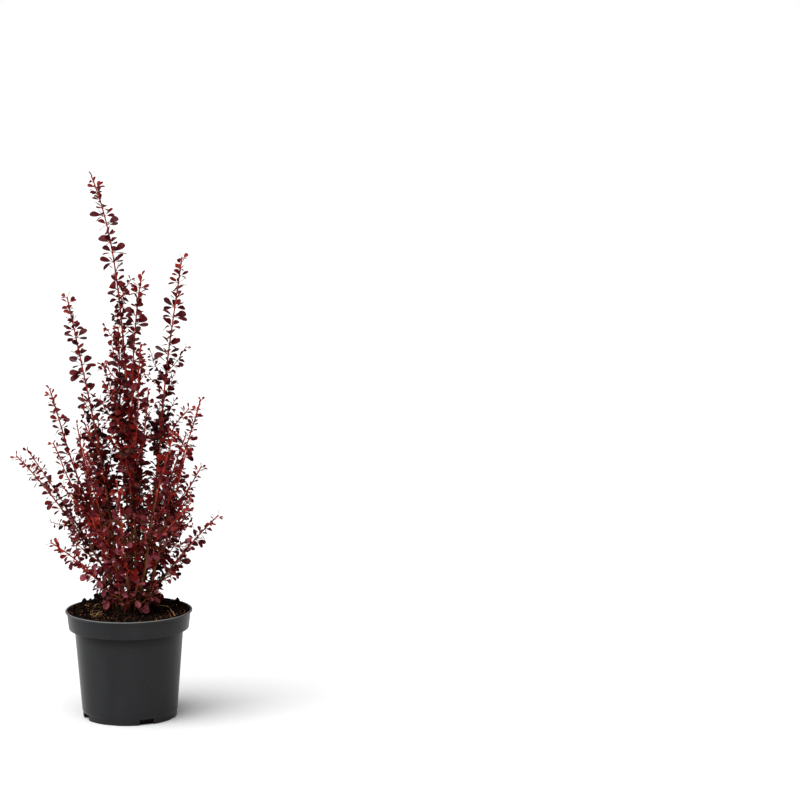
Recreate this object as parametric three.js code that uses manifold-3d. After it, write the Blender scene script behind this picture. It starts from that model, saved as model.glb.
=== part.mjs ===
// A purple-leaved Japanese barberry, a young many-stemmed shrub, in a round black nursery pot.
// Millimetres, +Z up, -Y towards the viewer. The origin is the centre of the pot's flat underside.
// Each cane is a bare lower limb, with a separate mass of twigs and leaves grown on above it.
import * as THREE from "three";
import { mergeVertices } from "three/addons/utils/BufferGeometryUtils.js";
import Module from "manifold-3d";

const wasm = await Module();
wasm.setup();

// The clearance between two pieces that touch on the real plant.
const CLEAR = 0.3;
// Corners nearer than WELD are one corner, and detail finer than FINEST is smoothed away.
const WELD = 1e-3;
const FINEST = 0.02;

// The pot: a tapering body, and a wider band at its mouth that ends in a small lip.
const POT = {
  height: 145,
  foot: 63,
  shoulder: 72.6,
  bandFoot: 80.2,
  bandTop: 82.6,
  bandHeight: 25,
  lip: 85,
  lipHeight: 2,
  wall: 1.4,
  floor: 2,
  facets: 40,
};
// Drain notches through the foot of the wall, and a shallow arch half way between each two.
const NOTCHES = { count: 4, azimuth: 25.6, depth: 10 };
const NOTCH = { width: 20, height: 6, turn: 0 };
const ARCH = { width: 14, height: 1.6, turn: 45 };

// The compost: its level, flat under the plant, and the height of its lumps towards the pot.
const SOIL = { level: 140, flatRadius: 31, lump: 2.6, facets: 32 };
const SOIL_RINGS = [0.33, 0.66, 0.93];

// The woody base that all canes spring from, a little right of the pot's middle.
const BASE = {
  x: 3,
  radius: 24,
  height: 12,
  brim: 1,
  flare: 0.12,
  lobes: 5,
  lobeDepth: 1.6,
  facets: 20,
  rings: 5,
};

// The canes. A tip is given by its azimuth, reach and height from the middle of the base, and arch
// bends the cane: 1 is straight, above 1 rises first and leans out later. foot is the distance from
// the base's middle at which it springs. Shoots leave it at a share of its length.
const CANES = [
  {
    name: "tall", azimuth: 205, reach: 47, height: 586, arch: 4.9, foot: -1, radius: 2.6, twigs: 6,
    shoots: [{ at: 0.34, azimuth: 133, reach: 55, height: 330, arch: 1.3 }],
  },
  {
    name: "centre", azimuth: 303, reach: 42, height: 456, arch: 7, foot: 13, radius: 2.3, twigs: 6,
    shoots: [{ at: 0.4, azimuth: 290, reach: 66, height: 369, arch: 1 }],
  },
  {
    name: "left_high", azimuth: 155, reach: 92, height: 421, arch: 1.4, foot: 17, radius: 2.2,
    twigs: 6, shoots: [{ at: 0.24, azimuth: 128, reach: 77, height: 259, arch: 0.9 }],
  },
  {
    name: "left_mid", azimuth: 199, reach: 106, height: 308, arch: 1.1, foot: 18, radius: 2.1,
    twigs: 4,
    shoots: [
      { at: 0.4, azimuth: 206, reach: 106, height: 238, arch: 0.9 },
      { at: 0.26, azimuth: 222, reach: 84, height: 264, arch: 0.9 },
    ],
  },
  {
    name: "left_wide", azimuth: 180, reach: 150, height: 213, arch: 1.5, foot: 18, radius: 1.9,
    twigs: 3, shoots: [{ at: 0.4, azimuth: 166, reach: 144, height: 216, arch: 1.1 }],
  },
  {
    name: "left_low", azimuth: 217, reach: 122, height: 110, arch: 1.5, foot: 18, radius: 1.6,
    twigs: 2, shoots: [],
  },
  {
    name: "right_high", azimuth: 23, reach: 77, height: 475, arch: 1.05, foot: 12, radius: 2.4,
    twigs: 6, shoots: [{ at: 0.48, azimuth: 5, reach: 80, height: 276, arch: 0.8 }],
  },
  {
    name: "right_mid", azimuth: 347, reach: 100, height: 292, arch: 1.1, foot: 18, radius: 2.1,
    twigs: 4, shoots: [{ at: 0.4, azimuth: 328, reach: 96, height: 232, arch: 0.9 }],
  },
  {
    name: "right_low", azimuth: 7, reach: 118, height: 130, arch: 1.3, foot: 18, radius: 1.8,
    twigs: 3, shoots: [],
  },
  {
    name: "right_back", azimuth: 35, reach: 112, height: 188, arch: 1.3, foot: 18, radius: 1.9,
    twigs: 4, shoots: [],
  },
  {
    name: "front_right", azimuth: 302, reach: 128, height: 262, arch: 1.2, foot: 18, radius: 2.1,
    twigs: 4, shoots: [{ at: 0.36, azimuth: 315, reach: 124, height: 165, arch: 0.9 }],
  },
  {
    name: "front", azimuth: 268, reach: 124, height: 196, arch: 1.3, foot: 18, radius: 2,
    twigs: 4, shoots: [],
  },
  {
    name: "front_left", azimuth: 240, reach: 104, height: 238, arch: 1.2, foot: 18, radius: 2,
    twigs: 4, shoots: [{ at: 0.36, azimuth: 250, reach: 118, height: 152, arch: 0.9 }],
  },
  {
    name: "back", azimuth: 80, reach: 104, height: 286, arch: 1.2, foot: 18, radius: 2.1,
    twigs: 4, shoots: [{ at: 0.34, azimuth: 92, reach: 142, height: 176, arch: 0.9 }],
  },
  {
    name: "back_left", azimuth: 120, reach: 132, height: 236, arch: 1.25, foot: 18, radius: 2,
    twigs: 4, shoots: [{ at: 0.36, azimuth: 138, reach: 136, height: 158, arch: 0.9 }],
  },
  {
    name: "back_right", azimuth: 58, reach: 128, height: 224, arch: 1.25, foot: 18, radius: 2,
    twigs: 4, shoots: [],
  },
  {
    name: "back_high", azimuth: 108, reach: 56, height: 378, arch: 1.3, foot: 9, radius: 2.2,
    twigs: 6, shoots: [],
  },
];
// Short leafy sprays that fill the shrub's foot, in the gaps between the outer canes. Each has a
// main shoot and two side shoots, which are turned from it to either side.
const SPRAYS = {
  azimuths: [286, 325, 22, 100, 137, 190, 254],
  reach: 46,
  height: 50,
  arch: 1.15,
  foot: 22,
  radius: 1.5,
  spacing: 8,
  sideShoots: [
    { at: 0.3, turn: 24, reach: 42, height: 26, arch: 0.9 },
    { at: 0.42, turn: -26, reach: 41, height: 38, arch: 0.9 },
  ],
};

// The length of a cane's bare part. Stems taper to a tip, and a shoot is thinner than its cane.
const BARE = 42;
const BARE_SIDES = 6;
const FOOT_FLARE = 1.15;
const TIP_RADIUS = 0.8;
const SHOOT_SHARE = 0.7;
// Stems sway a little from side to side, in straight stretches, with few sides.
const SWAY = 3;
const STRETCH = 44;
const CANE_SIDES = 4;
const SHOOT_SIDES = 3;

// Twigs leave a cane between two shares of its length, shorter towards its top. A twig that finds
// no free space is tried elsewhere round the cane and shorter.
const TWIGS = {
  from: 0.24,
  to: 0.52,
  length: 64,
  shortening: 1.25,
  firstTry: 1.2,
  lastTry: 0.6,
  tries: 10,
  lean: 0.62,
  arch: 0.8,
  radius: 1.1,
  free: 12,
};

// Leaves stand at even distances along every stem. One that finds no room is tried smaller.
const LEAF_SPACING = 18;
const LEAF_LENGTHS = [23, 19, 15];
const LEAF_TRIES = 4;
const GOLDEN_ANGLE = 137.5;
const LAST_LEAF = 0.99;
const TIP_LEAVES = { count: 2, scale: 0.7 };
// How far a leaf's middle keeps from other leaves, and its edge from the twigs of its own mass.
const LEAF_APART = 9;
const TWIG_APART = 2.2;
// A leaf's angle from its stem, and how far it may be turned along itself and round the stem.
const LEAF_SPREAD = { least: 38, most: 80 };
const LEAF_ROLL = 55;
const LEAF_SWING = 20;
// The leaf's outline in shares of its length, and a low top over it.
const LEAF_OUTLINE = [[0, 0], [0.33, 0.64], [0, 1], [-0.33, 0.64]];
const LEAF_TOP = [0, 0.6, 0.05];
const LEAF_FACES = [0, 1, 4, 1, 2, 4, 2, 3, 4, 3, 0, 4, 0, 3, 1, 1, 3, 2];
// How often the leaves of a mass are dealt out again at most.
const DEALS = 12;

// What a leaf or twig keeps from the space of the other masses, and from the compost below.
const MARGIN = 1.6;
const LOWEST = SOIL.level + SOIL.lump + 1.5;
// The distance between the points of a stem that distances are measured from.
const SAMPLE = 4;

const materials = {
  plastic: new THREE.MeshStandardMaterial({ color: 0x2f3032, roughness: 0.55, metalness: 0 }),
  compost: new THREE.MeshStandardMaterial({ color: 0x2a1c12, roughness: 1, metalness: 0 }),
  wood: new THREE.MeshStandardMaterial({ color: 0x6b4426, roughness: 0.85, metalness: 0 }),
  leaf: new THREE.MeshStandardMaterial({ color: 0x4d1a24, roughness: 0.55, metalness: 0 }),
};

const plant = new THREE.Group();
const radians = THREE.MathUtils.degToRad;
const { lerp } = THREE.MathUtils;

// A repeatable stream of numbers from 0 to 1.
function seeded(seed) {
  const modulus = 2147483647;
  let state = (seed * 7919) % modulus;
  return () => {
    state = (state * 48271) % modulus;
    return state / modulus;
  };
}

// A closed geometry as a solid that can be joined and cut.
function solidOf(geometry) {
  const bare = geometry.clone();
  bare.deleteAttribute("normal");
  bare.deleteAttribute("uv");
  const merged = mergeVertices(bare, WELD);
  return new wasm.Manifold(
    new wasm.Mesh({
      numProp: 3,
      vertProperties: merged.getAttribute("position").array,
      triVerts: new Uint32Array(merged.index.array),
    }),
  );
}

function geometryOf(solid) {
  const made = solid.getMesh();
  const geometry = new THREE.BufferGeometry();
  geometry.setAttribute("position", new THREE.BufferAttribute(made.vertProperties, 3));
  geometry.setIndex(new THREE.BufferAttribute(made.triVerts, 1));
  return geometry;
}

// The outer skin of a solid's largest piece, which fills hollows and drops scraps.
function mainPiece(solid) {
  return solid.decompose().reduce((best, piece) => (piece.volume() > best.volume() ? piece : best));
}

function skinOf(solid) {
  const smoothed = geometryOf(mainPiece(solid.simplify(FINEST)));
  return geometryOf(mainPiece(solidOf(smoothed)));
}

// Whether the skin runs along any edge twice, as it does where two of its folds touch.
function isPinched(skin) {
  const { index } = mergeVertices(skin.clone(), WELD);
  const edges = new Set();
  for (let i = 0; i < index.count; i += 1) {
    const next = i % 3 === 2 ? i - 2 : i + 1;
    edges.add(`${index.getX(i)} ${index.getX(next)}`);
  }
  return edges.size < index.count;
}

function addNode(name, skin, material) {
  skin.computeVertexNormals();
  const mesh = new THREE.Mesh(skin, material);
  mesh.name = name;
  plant.add(mesh);
}

// A profile of [radius, height] points turned round the vertical axis.
function turned(profile, facets) {
  const points = profile.map(([radius, height]) => new THREE.Vector2(radius, height));
  return new THREE.LatheGeometry(points, facets).rotateX(Math.PI / 2);
}

// The corners of the pot's wall from its foot to its lip, on the outside or a wall's width inside.
function potWall(inset) {
  const bandLevel = POT.height - POT.bandHeight;
  return [
    [POT.foot - inset, inset ? POT.floor : 0],
    [POT.shoulder - inset, bandLevel + inset],
    [POT.bandFoot - inset, bandLevel + 1 + inset],
    [POT.bandTop - inset, POT.height - POT.lipHeight],
  ];
}

// A block across the foot of the pot's wall, which cuts one notch there.
function notchBlock(notch, index) {
  const block = new THREE.BoxGeometry(2 * NOTCHES.depth, notch.width, 2 * notch.height);
  block.translate(POT.foot, 0, 0);
  block.rotateZ(radians(NOTCHES.azimuth + notch.turn + (360 / NOTCHES.count) * index));
  return solidOf(block);
}

function pot() {
  const outside = [[0, 0], ...potWall(0), [POT.lip, POT.height - POT.lipHeight]];
  const inside = [[POT.bandTop - POT.wall, POT.height], ...potWall(POT.wall).reverse()];
  const profile = [...outside, [POT.lip, POT.height], ...inside, [0, POT.floor]];
  let solid = solidOf(turned(profile, POT.facets));
  for (let index = 0; index < NOTCHES.count; index += 1) {
    solid = solid.subtract(notchBlock(NOTCH, index)).subtract(notchBlock(ARCH, index));
  }
  addNode("pot", skinOf(solid), materials.plastic);
}

// How much the compost's top stands above its level at a place.
function lumpAt(x, y) {
  return 0.45 * (Math.sin(0.13 * x + 0.9) * Math.cos(0.17 * y) + Math.sin(0.31 * x - 0.23 * y)) + 0.2;
}

// The compost fills the pot. Its top is uneven between the flat middle and the pot's wall.
function soil() {
  const inset = POT.wall + CLEAR;
  const taper = (POT.bandTop - POT.bandFoot) / POT.bandHeight;
  const edge = POT.bandTop - inset - taper * (POT.height - SOIL.level) - CLEAR;
  const [foot, shoulder, bandFoot] = potWall(inset);
  const bottom = POT.floor + CLEAR;
  const rings = SOIL_RINGS.map((share) => [lerp(SOIL.flatRadius, edge, share), SOIL.level]);
  const side = [[0, bottom], [foot[0], bottom], shoulder, bandFoot, [edge, SOIL.level]];
  const top = [...rings.reverse(), [SOIL.flatRadius, SOIL.level], [0, SOIL.level]];
  const geometry = turned([...side, ...top], SOIL.facets);
  const position = geometry.getAttribute("position");
  for (let i = 0; i < position.count; i += 1) {
    const x = position.getX(i);
    const y = position.getY(i);
    const out = (Math.hypot(x, y) - SOIL.flatRadius) / (edge - SOIL.flatRadius);
    const isRing = position.getZ(i) > SOIL.level - CLEAR && out > 0.01 && out < 0.99;
    if (isRing) position.setZ(i, SOIL.level + SOIL.lump * lumpAt(x, y) * Math.sqrt(out));
  }
  addNode("soil", skinOf(solidOf(geometry)), materials.compost);
}

// The woody base, a lobed dome cut flat at the compost's surface. grow makes it larger all round.
function baseSolid(grow) {
  const dome = Array.from({ length: BASE.rings + 1 }, (_, ring) => {
    const rise = ring / BASE.rings;
    const radius = BASE.radius * (1 + BASE.flare * (1 - rise) ** 2) + grow;
    const height = BASE.brim + (BASE.height - BASE.brim + grow) * Math.sin((Math.PI / 2) * rise);
    return [rise < 1 ? radius * Math.cos((Math.PI / 2) * rise) : 0, height];
  });
  const geometry = turned([[0, 0], [dome[0][0], 0], ...dome], BASE.facets);
  const position = geometry.getAttribute("position");
  for (let i = 0; i < position.count; i += 1) {
    const x = position.getX(i);
    const y = position.getY(i);
    const swell = 1 + (BASE.lobeDepth / BASE.radius) * Math.cos(BASE.lobes * Math.atan2(y, x));
    position.setX(i, x * swell);
    position.setY(i, y * swell);
  }
  geometry.translate(BASE.x, 0, SOIL.level + CLEAR);
  return solidOf(geometry);
}

// A point given by its azimuth, reach and height from the middle of the base.
function fromBase(azimuth, reach, height) {
  const x = BASE.x + reach * Math.cos(radians(azimuth));
  return new THREE.Vector3(x, reach * Math.sin(radians(azimuth)), SOIL.level + height);
}

// The line of a cane, shoot or twig. It rises evenly while it moves out by a power of the rise.
class StemLine extends THREE.Curve {
  constructor(start, end, arch, sway) {
    super();
    Object.assign(this, { start, end, arch, sway });
  }
  getPoint(u, target = new THREE.Vector3()) {
    const out = u ** this.arch;
    const bow = SWAY * Math.sin(Math.PI * u) * Math.sin(2 * Math.PI * u + this.sway);
    target.x = lerp(this.start.x, this.end.x, out) + bow * Math.cos(this.sway);
    target.y = lerp(this.start.y, this.end.y, out) + bow * Math.sin(this.sway);
    target.z = lerp(this.start.z, this.end.z, u);
    return target;
  }
}

// The same line as evenly spaced points, joined by straight stretches.
function axisOf(start, end, arch, sway) {
  const line = new StemLine(start, end, arch, sway);
  return line.getSpacedPoints(Math.max(2, Math.round(line.getLength() / STRETCH)));
}

function lengthOf(axis) {
  return (axis.length - 1) * axis[0].distanceTo(axis[1]);
}

// The point and direction at a share of an axis.
function placeOn(axis, share) {
  const steps = axis.length - 1;
  const step = Math.min(Math.floor(share * steps), steps - 1);
  const [from, to] = [axis[step], axis[step + 1]];
  const point = from.clone().lerp(to, share * steps - step);
  return { point, tangent: to.clone().sub(from).normalize() };
}

// The part of an axis between two shares of it.
function partOf(axis, from, to) {
  const steps = axis.length - 1;
  const inner = axis.filter((_, step) => step > from * steps && step < to * steps);
  return [placeOn(axis, from).point, ...inner, placeOn(axis, to).point];
}

// Two directions square to a stem: one turned round it from the side towards +X, and one beside it.
function across(tangent, turn = 0) {
  const out = new THREE.Vector3(1, 0, 0);
  out.addScaledVector(tangent, -tangent.x).normalize().applyAxisAngle(tangent, radians(turn));
  return { out, side: new THREE.Vector3().crossVectors(tangent, out) };
}

// A tapering limb: a cylinder whose rings are carried along an axis and turned square to it.
function limb(axis, startRadius, endRadius, sides) {
  const steps = axis.length - 1;
  const geometry = new THREE.CylinderGeometry(endRadius, startRadius, 1, sides, steps);
  const frames = axis.map((_, step) => {
    const before = axis[Math.max(step - 1, 0)];
    const after = axis[Math.min(step + 1, steps)];
    return across(after.clone().sub(before).normalize());
  });
  const position = geometry.getAttribute("position");
  for (let i = 0; i < position.count; i += 1) {
    const ring = Math.round((position.getY(i) + 0.5) * steps);
    const point = axis[ring].clone();
    point.addScaledVector(frames[ring].side, position.getX(i));
    point.addScaledVector(frames[ring].out, position.getZ(i));
    position.setXYZ(i, point.x, point.y, point.z);
  }
  return solidOf(geometry);
}

function radiusAt(cane, share) {
  return lerp(cane.radius, TIP_RADIUS, share);
}

// The stems of one mass before it has twigs: its cane, leafy above a share of it, and its shoots.
function massOf(cane, index, bareLength) {
  const start = fromBase(cane.azimuth, cane.foot, BASE.height / 4);
  const tip = fromBase(cane.azimuth, cane.reach, cane.height);
  const axis = axisOf(start, tip, cane.arch, index);
  const from = bareLength / lengthOf(axis);
  const shoots = cane.shoots.map((shoot, order) => {
    const end = fromBase(shoot.azimuth, shoot.reach, shoot.height);
    const line = axisOf(placeOn(axis, shoot.at).point, end, shoot.arch, index + order + 1);
    const radius = SHOOT_SHARE * radiusAt(cane, shoot.at);
    return { axis: line, radius, from: 0, sides: SHOOT_SIDES };
  });
  const stems = [{ axis, radius: cane.radius, from, sides: CANE_SIDES }, ...shoots];
  return { spacing: LEAF_SPACING, ...cane, stems, samples: samplesOf(stems), seed: index + 1 };
}

// Points along stems, close enough together to measure distances from.
function samplesOf(stems) {
  return stems.flatMap(({ axis }) => {
    const count = Math.ceil(lengthOf(axis) / SAMPLE);
    return Array.from({ length: count + 1 }, (_, i) => placeOn(axis, i / count).point);
  });
}

function nearest(point, samples) {
  const squares = samples.map((sample) => sample.distanceToSquared(point));
  return Math.sqrt(Math.min(...squares));
}

// Whether all points lie nearer to this mass's stems than to any other's, and above the compost.
function inOwnSpace(points, mass) {
  return points.every((point) => {
    const reach = nearest(point, mass.samples) + MARGIN;
    return point.z > LOWEST && mass.others.every(({ samples }) => nearest(point, samples) > reach);
  });
}

// One twig from a share of the cane, at the first try that finds free space.
function twigAt(mass, share, random) {
  const { point, tangent } = placeOn(mass.stems[0].axis, share);
  for (let trial = 0; trial < TWIGS.tries; trial += 1) {
    const shortening = lerp(TWIGS.firstTry, TWIGS.lastTry, trial / TWIGS.tries);
    const length = TWIGS.length * (TWIGS.shortening - share) * shortening;
    const { out } = across(tangent, 360 * random());
    const end = point.clone().addScaledVector(out, TWIGS.lean * length);
    end.z += length * Math.sqrt(1 - TWIGS.lean ** 2);
    const axis = axisOf(point, end, TWIGS.arch, 2 * Math.PI * random());
    const outer = samplesOf([{ axis }]).filter((sample) => sample.distanceTo(point) > TWIGS.free);
    if (inOwnSpace(outer, mass)) {
      return [{ axis, radius: TWIGS.radius, from: 0, sides: SHOOT_SIDES }];
    }
  }
  return [];
}

// Twigs leave the cane all the way up its leafy middle.
function growTwigs(mass) {
  const random = seeded(mass.seed);
  for (let index = 0; index < mass.twigs; index += 1) {
    const share = lerp(TWIGS.from, TWIGS.to, (index + 0.5) / mass.twigs);
    mass.stems.push(...twigAt(mass, share, random));
  }
  mass.samples = samplesOf(mass.stems);
}

// A leaf as a low pyramid over its outline, with its base at the point given.
function leaf(base, along, side, length) {
  const normal = new THREE.Vector3().crossVectors(side, along);
  const place = ([x, y, z = 0]) => {
    const point = base.clone().addScaledVector(side, x * length);
    return point.addScaledVector(along, y * length).addScaledVector(normal, z * length);
  };
  const corners = LEAF_OUTLINE.map(place);
  const middle = place(LEAF_TOP);
  return { base, corners, middle, outer: [...corners.slice(1), middle] };
}

function leafSolid({ corners, middle }) {
  const geometry = new THREE.BufferGeometry().setFromPoints([...corners, middle]);
  geometry.setIndex(LEAF_FACES);
  return solidOf(geometry);
}

// Whether a leaf keeps to its mass's space, and off the other twigs and leaves of its own mass.
function hasRoom(made, stem, mass, leaves) {
  const middles = leaves.map(({ middle }) => middle);
  const twigs = samplesOf(mass.stems.filter((other) => other !== stem));
  if (nearest(made.middle, middles) < LEAF_APART) return false;
  if (made.outer.some((point) => nearest(point, twigs) < TWIG_APART)) return false;
  return inOwnSpace(made.outer, mass);
}

// A leaf on a stem, at the first try that finds room.
function leafAt(stem, share, turn, scale, random, mass, leaves) {
  const { point, tangent } = placeOn(stem.axis, share);
  for (let trial = 0; trial < LEAF_LENGTHS.length * LEAF_TRIES; trial += 1) {
    const length = scale * LEAF_LENGTHS[Math.floor(trial / LEAF_TRIES)];
    const { out, side } = across(tangent, turn + LEAF_SWING * (2 * random() - 1));
    const spread = radians(lerp(LEAF_SPREAD.least, LEAF_SPREAD.most, random()));
    const along = out.multiplyScalar(Math.sin(spread)).addScaledVector(tangent, Math.cos(spread));
    const rolled = side.applyAxisAngle(along, radians(LEAF_ROLL * (2 * random() - 1)));
    const made = leaf(point, along, rolled, length);
    if (hasRoom(made, stem, mass, leaves)) return [made];
  }
  return [];
}

// The leaves of one stem. Each stands on the middle of the side of the stem that is nearest to the
// golden angle's turn from leaf to leaf, and those at the tip are smaller.
function dealLeaves(stem, mass, random, leaves) {
  const length = lengthOf(stem.axis) * (1 - stem.from);
  const count = Math.max(2, Math.round(length / mass.spacing));
  for (let order = 0; order < count; order += 1) {
    const share = lerp(stem.from, 1, LAST_LEAF * ((order + 1) / count));
    const face = Math.round((GOLDEN_ANGLE * order * stem.sides) / 360) + 0.5;
    const scale = order < count - TIP_LEAVES.count ? 1 : TIP_LEAVES.scale;
    const turn = (360 / stem.sides) * face;
    leaves.push(...leafAt(stem, share, turn, scale, random, mass, leaves));
  }
}

// The leafy part of a mass: its stems above the bare cane, joined with their leaves.
function leafyPart(mass, seed) {
  const random = seeded(seed);
  const [cane, ...shoots] = mass.stems;
  const start = cane.from && cane.from + CLEAR / lengthOf(cane.axis);
  const main = limb(partOf(cane.axis, start, 1), radiusAt(mass, start), TIP_RADIUS, cane.sides);
  const thin = shoots.map(({ axis, radius, sides }) => limb(axis, radius, TIP_RADIUS, sides));
  const leaves = [];
  mass.stems.forEach((stem) => dealLeaves(stem, mass, random, leaves));
  return wasm.Manifold.union([main, ...thin, ...leaves.map(leafSolid)]);
}

// Where the leaves happen to pinch the skin, they are dealt out again.
function foliage(mass, keepOff) {
  for (let deal = 1; deal <= DEALS; deal += 1) {
    const skin = skinOf(leafyPart(mass, mass.seed + CANES.length * deal).subtract(keepOff));
    if (!isPinched(skin)) return skin;
  }
  throw new Error(`${mass.name} is pinched in every deal`);
}

function sprays() {
  return SPRAYS.azimuths.map((azimuth, index) => {
    const shoots = SPRAYS.sideShoots.map((shoot) => ({ ...shoot, azimuth: azimuth + shoot.turn }));
    const spray = { ...SPRAYS, shoots, azimuth, name: `foot_${index + 1}` };
    return massOf(spray, CANES.length + index, 0);
  });
}

function bareCane(mass, keepOff) {
  const [{ axis, from }] = mass.stems;
  const footRadius = mass.radius * FOOT_FLARE;
  const solid = limb(partOf(axis, 0, from), footRadius, radiusAt(mass, from), BARE_SIDES);
  return skinOf(solid.subtract(keepOff));
}

function shrub() {
  const keepOff = baseSolid(CLEAR);
  const canes = CANES.map((cane, index) => massOf(cane, index, BARE));
  const masses = [...canes, ...sprays()];
  masses.forEach((mass) => {
    mass.others = masses.filter((other) => other !== mass);
  });
  canes.forEach(growTwigs);
  addNode("woody_base", skinOf(baseSolid(0)), materials.wood);
  canes.forEach((mass) => addNode(`cane_${mass.name}`, bareCane(mass, keepOff), materials.wood));
  masses.forEach((mass) => addNode(`foliage_${mass.name}`, foliage(mass, keepOff), materials.leaf));
}

pot();
soil();
shrub();

export default plant;
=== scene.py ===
"""The looks of a potted purple-leaved Japanese barberry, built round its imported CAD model.

The shrub and pot are worked out in millimetres, as in the CAD source, and scaled to metres when a
mesh is made. +Z is up and -Y is towards the viewer.
"""

import math

import bmesh
import bpy
import numpy as np
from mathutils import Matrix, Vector, noise


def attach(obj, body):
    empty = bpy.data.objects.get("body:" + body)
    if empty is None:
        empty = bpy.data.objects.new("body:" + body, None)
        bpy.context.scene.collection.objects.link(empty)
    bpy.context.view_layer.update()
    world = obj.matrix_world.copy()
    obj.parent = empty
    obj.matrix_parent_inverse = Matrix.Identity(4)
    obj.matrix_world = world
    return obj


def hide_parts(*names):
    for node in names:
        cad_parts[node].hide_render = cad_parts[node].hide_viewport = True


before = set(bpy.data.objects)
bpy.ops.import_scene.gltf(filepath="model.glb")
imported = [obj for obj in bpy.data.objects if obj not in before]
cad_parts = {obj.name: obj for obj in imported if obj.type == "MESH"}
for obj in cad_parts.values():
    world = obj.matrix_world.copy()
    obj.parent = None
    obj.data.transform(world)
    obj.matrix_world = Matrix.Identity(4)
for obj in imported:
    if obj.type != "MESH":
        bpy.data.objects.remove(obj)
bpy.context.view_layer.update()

MM = 0.001
UP = np.array([0.0, 0.0, 1.0])
FULL_TURN = 2 * math.pi
GOLDEN_ANGLE = math.radians(137.5)
NO_QUADS = np.zeros((0, 4), int)
# The ranks of stems, in the order of the lists by rank.
CANE, SHOOT, TWIG, FINE_TWIG = range(4)
SEEDS = {"stems": 5, "canes": 8, "fine_twigs": 11, "litter": 21}

# The CAD source's sizes, down to SIDE_SHOOTS, but with the photo's higher notches.
CLEARANCE = 0.3
POT = {"height": 145, "foot": 63, "shoulder": 72.6, "band_foot": 80.2, "band_top": 82.6,
       "band_height": 25, "wall": 1.4, "floor": 2}
BAND = POT["height"] - POT["band_height"]
NOTCHES = {"count": 4, "azimuth": 25.6, "depth": 10}
NOTCH = {"width": 20, "height": 7.5, "turn": 0}
ARCH = {"width": 14, "height": 1.6, "turn": 45}
# The compost's level, and the height of its lumps.
LEVEL, LUMP = 140, 2.6
BASE = {"x": 3, "radius": 24, "height": 12, "brim": 1, "flare": 0.12, "lobes": 5, "lobe_depth": 1.6}
# A cane's bare length and its radius at the tip, and a shoot's share of its thickness.
BARE, TIP_RADIUS, SHOOT_SHARE = 42, 0.8, 0.7
# How far stems sway to the side, and the length of the solids' straight stretches.
SWAY, STRETCH = 3, 44
TWIGS = {"from": 0.24, "to": 0.52, "length": 64, "shortening": 1.25, "first_try": 1.2,
         "last_try": 0.6, "tries": 10, "lean": 0.62, "arch": 0.8, "radius": 1.1, "free": 12}
# A twig's margin to the other masses, its least height, and the gap between a stem's samples.
MARGIN, LOWEST, SAMPLE = 1.6, LEVEL + LUMP + 1.5, 4
# name, azimuth, reach, height, arch, foot, radius, twigs, and shoots of share, azimuth, reach,
# height and arch.
CANES = [
    ("tall", 205, 47, 586, 4.9, -1, 2.6, 6, [(0.34, 133, 55, 330, 1.3)]),
    ("centre", 303, 42, 456, 7, 13, 2.3, 6, [(0.4, 290, 66, 369, 1)]),
    ("left_high", 155, 92, 421, 1.4, 17, 2.2, 6, [(0.24, 128, 77, 259, 0.9)]),
    ("left_mid", 199, 106, 308, 1.1, 18, 2.1, 4,
     [(0.4, 206, 106, 238, 0.9), (0.26, 222, 84, 264, 0.9)]),
    ("left_wide", 180, 150, 213, 1.5, 18, 1.9, 3, [(0.4, 166, 144, 216, 1.1)]),
    ("left_low", 217, 122, 110, 1.5, 18, 1.6, 2, []),
    ("right_high", 23, 77, 475, 1.05, 12, 2.4, 6, [(0.48, 5, 80, 276, 0.8)]),
    ("right_mid", 347, 100, 292, 1.1, 18, 2.1, 4, [(0.4, 328, 96, 232, 0.9)]),
    ("right_low", 7, 118, 130, 1.3, 18, 1.8, 3, []),
    ("right_back", 35, 112, 188, 1.3, 18, 1.9, 4, []),
    ("front_right", 302, 128, 262, 1.2, 18, 2.1, 4, [(0.36, 315, 124, 165, 0.9)]),
    ("front", 268, 124, 196, 1.3, 18, 2, 4, []),
    ("front_left", 240, 104, 238, 1.2, 18, 2, 4, [(0.36, 250, 118, 152, 0.9)]),
    ("back", 80, 104, 286, 1.2, 18, 2.1, 4, [(0.34, 92, 142, 176, 0.9)]),
    ("back_left", 120, 132, 236, 1.25, 18, 2, 4, [(0.36, 138, 136, 158, 0.9)]),
    ("back_right", 58, 128, 224, 1.25, 18, 2, 4, []),
    ("back_high", 108, 56, 378, 1.3, 9, 2.2, 6, []),
]
SPRAY_AZIMUTHS = [286, 325, 22, 100, 137, 190, 254]
# The sprays' reach, height, arch, foot and radius.
SPRAY = (46, 50, 1.15, 22, 1.5)
SIDE_SHOOTS = [(0.3, 24, 42, 26, 0.9), (0.42, -26, 41, 38, 0.9)]

# Finer twigs grow in the dense middle of the crown, from this far below a stem's tip on, at a share
# of its nodes.
FINE = {"least": 24, "most": 50, "radius": 0.6, "arch": 0.85, "lean": 0.72, "leans": (0.7, 1.15),
        "upward": 0.6, "least_rise": 0.2, "tries": 8, "free": 9, "margin": 0.5, "sample": 5,
        "on_canes": (150, 0.5), "on_twigs": (24, 0.28), "lowest": 95, "within": 50,
        "widening": 0.27}

# Stems taper by a power of the length that is left, to a radius by rank.
TAPER, THIN = 1.75, [0.84, 0.74, 0.6, 0.46]
# By rank, the distance between a stem's rings and the number of its sides.
RING_GAPS, SIDES = [4, 4, 5, 6], [8, 7, 6, 5]
# How a stem swells at a node: its share, its width, and how far off the rings beside it are.
SWELLING = {"share": 0.28, "width": 1.3, "beside": 1.6}
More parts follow.
